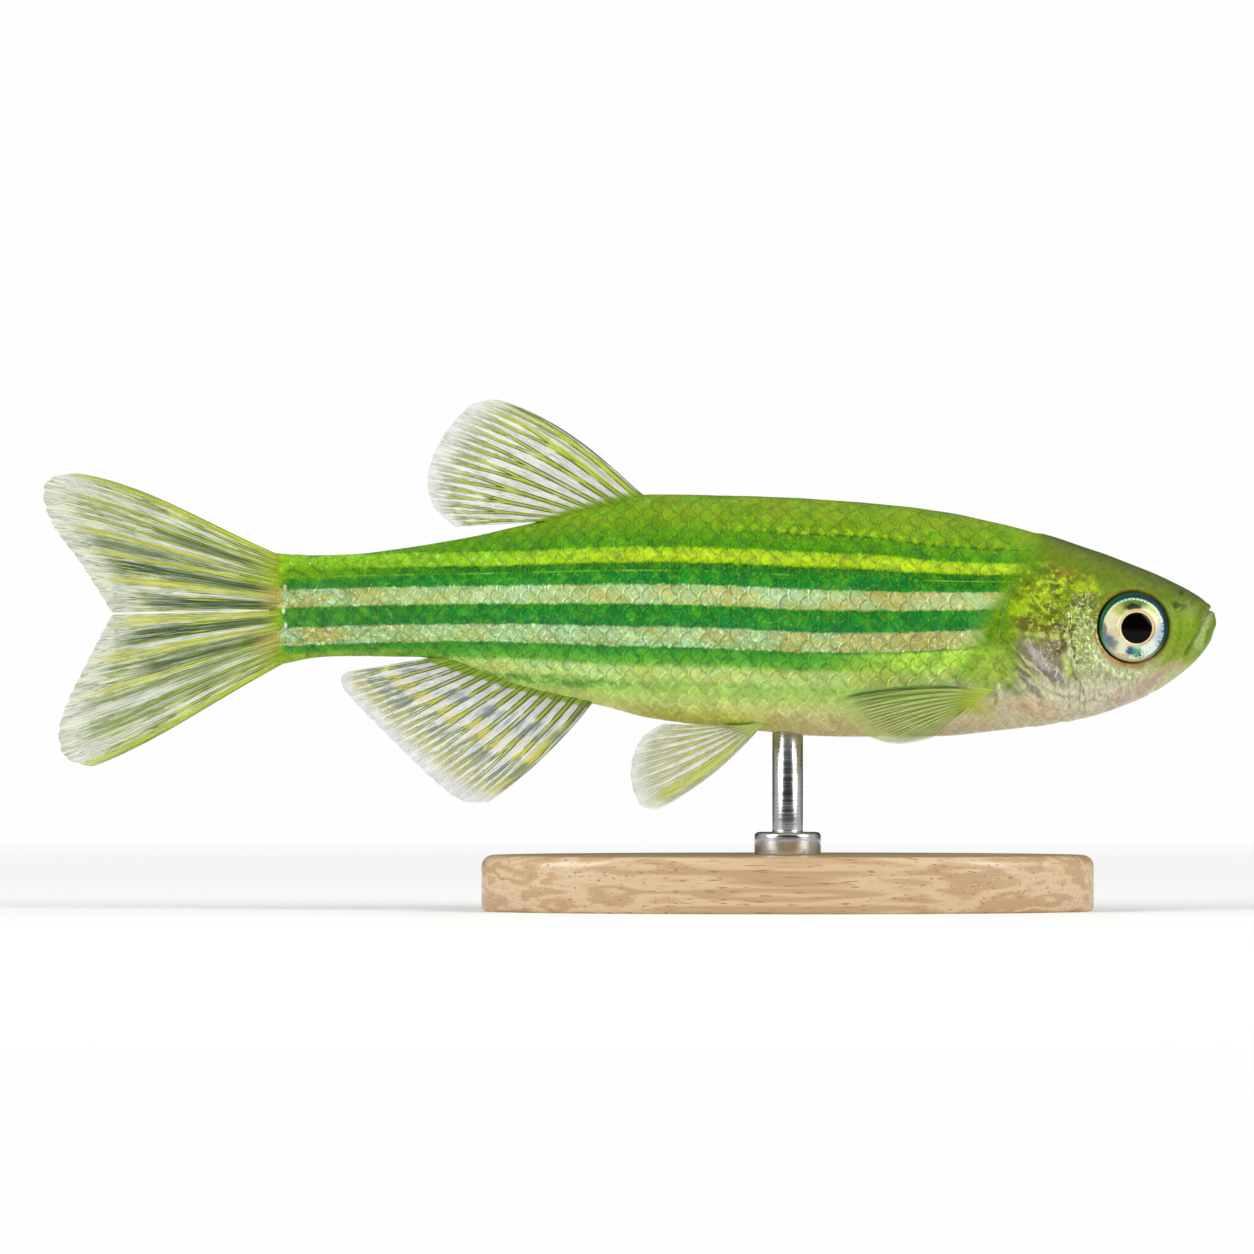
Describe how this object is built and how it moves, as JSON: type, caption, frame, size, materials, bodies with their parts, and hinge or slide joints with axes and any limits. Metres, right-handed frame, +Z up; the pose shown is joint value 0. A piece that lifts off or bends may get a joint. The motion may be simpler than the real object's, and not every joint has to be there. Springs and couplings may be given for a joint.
{
  "type": "zebra danio",
  "caption": "Life-size still model of a bright green zebra danio with striped flanks and spread fins, held level by a rod on a small oval base.",
  "frame": {"origin": "on the floor, under the middle of the fish's length and of the base's width", "axes": "+X along the body to the snout, +Z up, -Y out of the fish's right side"},
  "size_m": [0.046, 0.013, 0.0201],
  "materials": {
    "body_skin": "wet-looking scaled skin, green with pale gold stripes",
    "head_skin": "smooth olive green skin, paler below",
    "gill_cover": "silvery green with a metallic sheen",
    "eye": "clear wet dome over a silver and blue iris with a black pupil",
    "fin": "thin clear membrane with yellow green rays",
    "stand_base": "pale satin lacquered wood",
    "stand_rod": "polished"
  },
  "bodies": {
    "root": {"head": "head_skin", "lower_jaw": "head_skin", "torso": "body_skin", "tail_stalk": "body_skin", "gill_cover_right": "gill_cover", "gill_cover_left": "gill_cover", "eye_right": "eye", "eye_left": "eye", "dorsal_fin": "fin", "anal_fin": "fin", "tail_fin_upper_lobe": "fin", "tail_fin_lower_lobe": "fin", "pectoral_fin_right": "fin", "pectoral_fin_left": "fin", "pelvic_fin_right": "fin", "pelvic_fin_left": "fin", "stand_base": "stand_base", "stand_rod": "stand_rod"}
  },
  "joints": []
}
